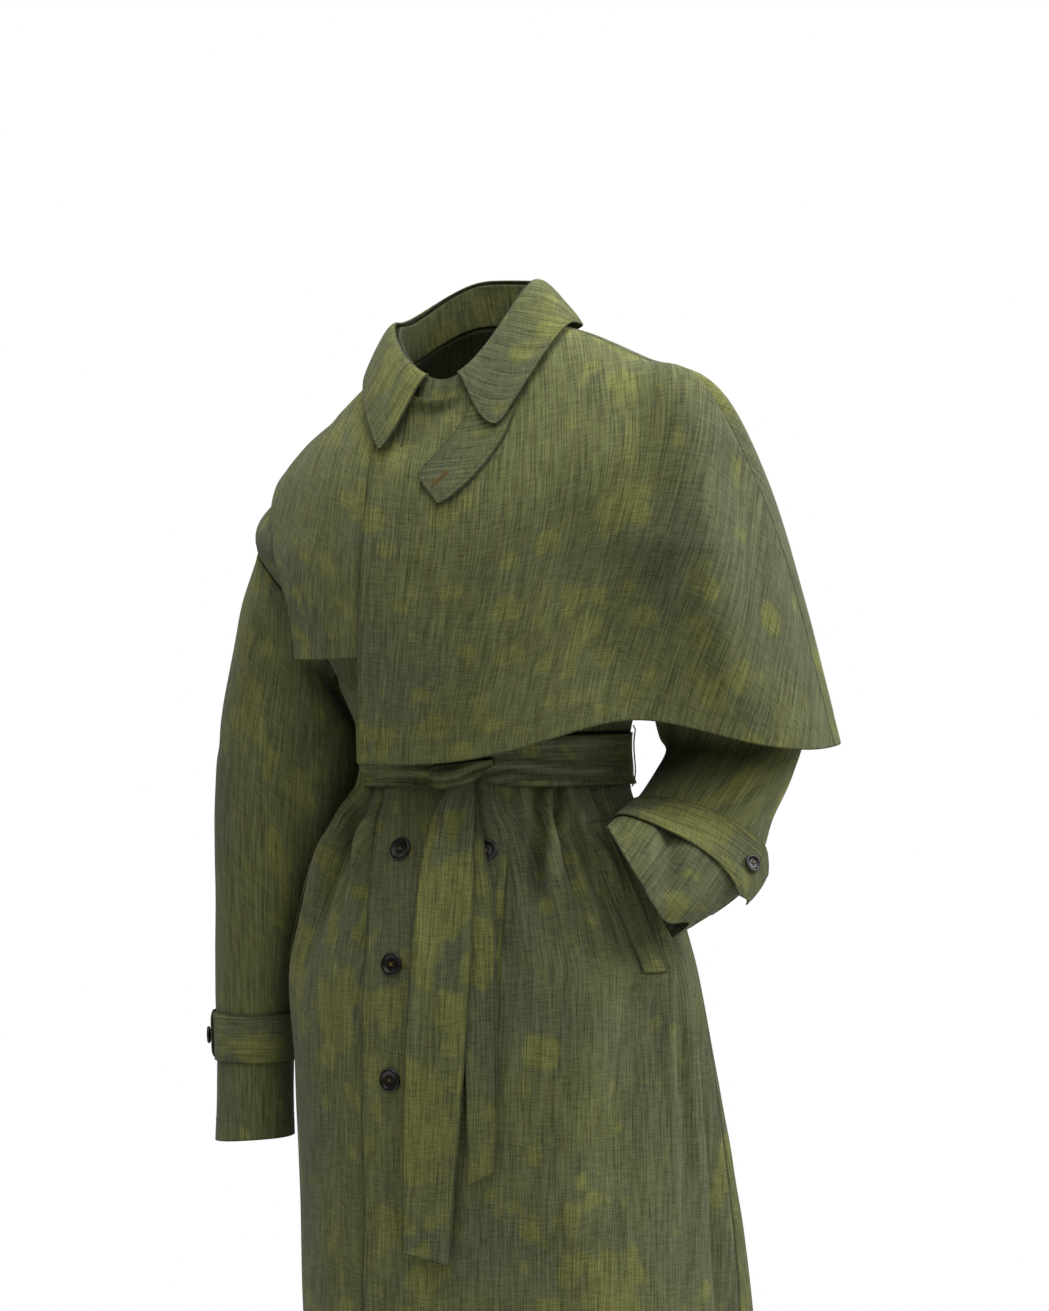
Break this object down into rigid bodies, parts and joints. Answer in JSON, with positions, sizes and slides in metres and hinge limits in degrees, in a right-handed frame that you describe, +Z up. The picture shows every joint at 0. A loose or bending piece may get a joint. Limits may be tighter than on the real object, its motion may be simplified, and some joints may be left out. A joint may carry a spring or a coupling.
{
  "type": "cape trench coat",
  "caption": "Double-breasted trench coat in its worn shape with a one-sided shoulder cape, point collar, tied self belt, strapped cuffs and slanted pockets, hollow inside.",
  "frame": {"origin": "middle of the neck at the height of the shoulders, where the wearer's neck and shoulders hold the coat", "axes": "+X to the wearer's left, +Y out of the coat's back, +Z up"},
  "size_m": [0.7339, 0.3928, 1.3151],
  "materials": {
    "dyed_slub_canvas": "matt woven cloth",
    "dark_horn": "satin"
  },
  "bodies": {
    "root": {"front_left": "dyed_slub_canvas", "front_right": "dyed_slub_canvas", "back": "dyed_slub_canvas", "sleeve_left": "dyed_slub_canvas", "sleeve_right": "dyed_slub_canvas", "cape_left": "dyed_slub_canvas", "cape_back": "dyed_slub_canvas", "flap_right": "dyed_slub_canvas", "collar": "dyed_slub_canvas", "collar_stand": "dyed_slub_canvas", "throat_tab": "dyed_slub_canvas", "belt": "dyed_slub_canvas", "belt_knot": "dyed_slub_canvas", "belt_tail_long": "dyed_slub_canvas", "belt_tail_short": "dyed_slub_canvas", "belt_loop_left": "dyed_slub_canvas", "belt_loop_right": "dyed_slub_canvas", "pocket_welt_left": "dyed_slub_canvas", "pocket_welt_right": "dyed_slub_canvas", "cuff_strap_left": "dyed_slub_canvas", "cuff_strap_right": "dyed_slub_canvas", "cuff_button_left": "dark_horn", "cuff_button_right": "dark_horn", "front_button_left_1": "dark_horn", "front_button_left_2": "dark_horn", "front_button_left_3": "dark_horn", "front_button_right_1": "dark_horn", "front_button_right_2": "dark_horn", "front_button_right_3": "dark_horn"}
  },
  "joints": []
}
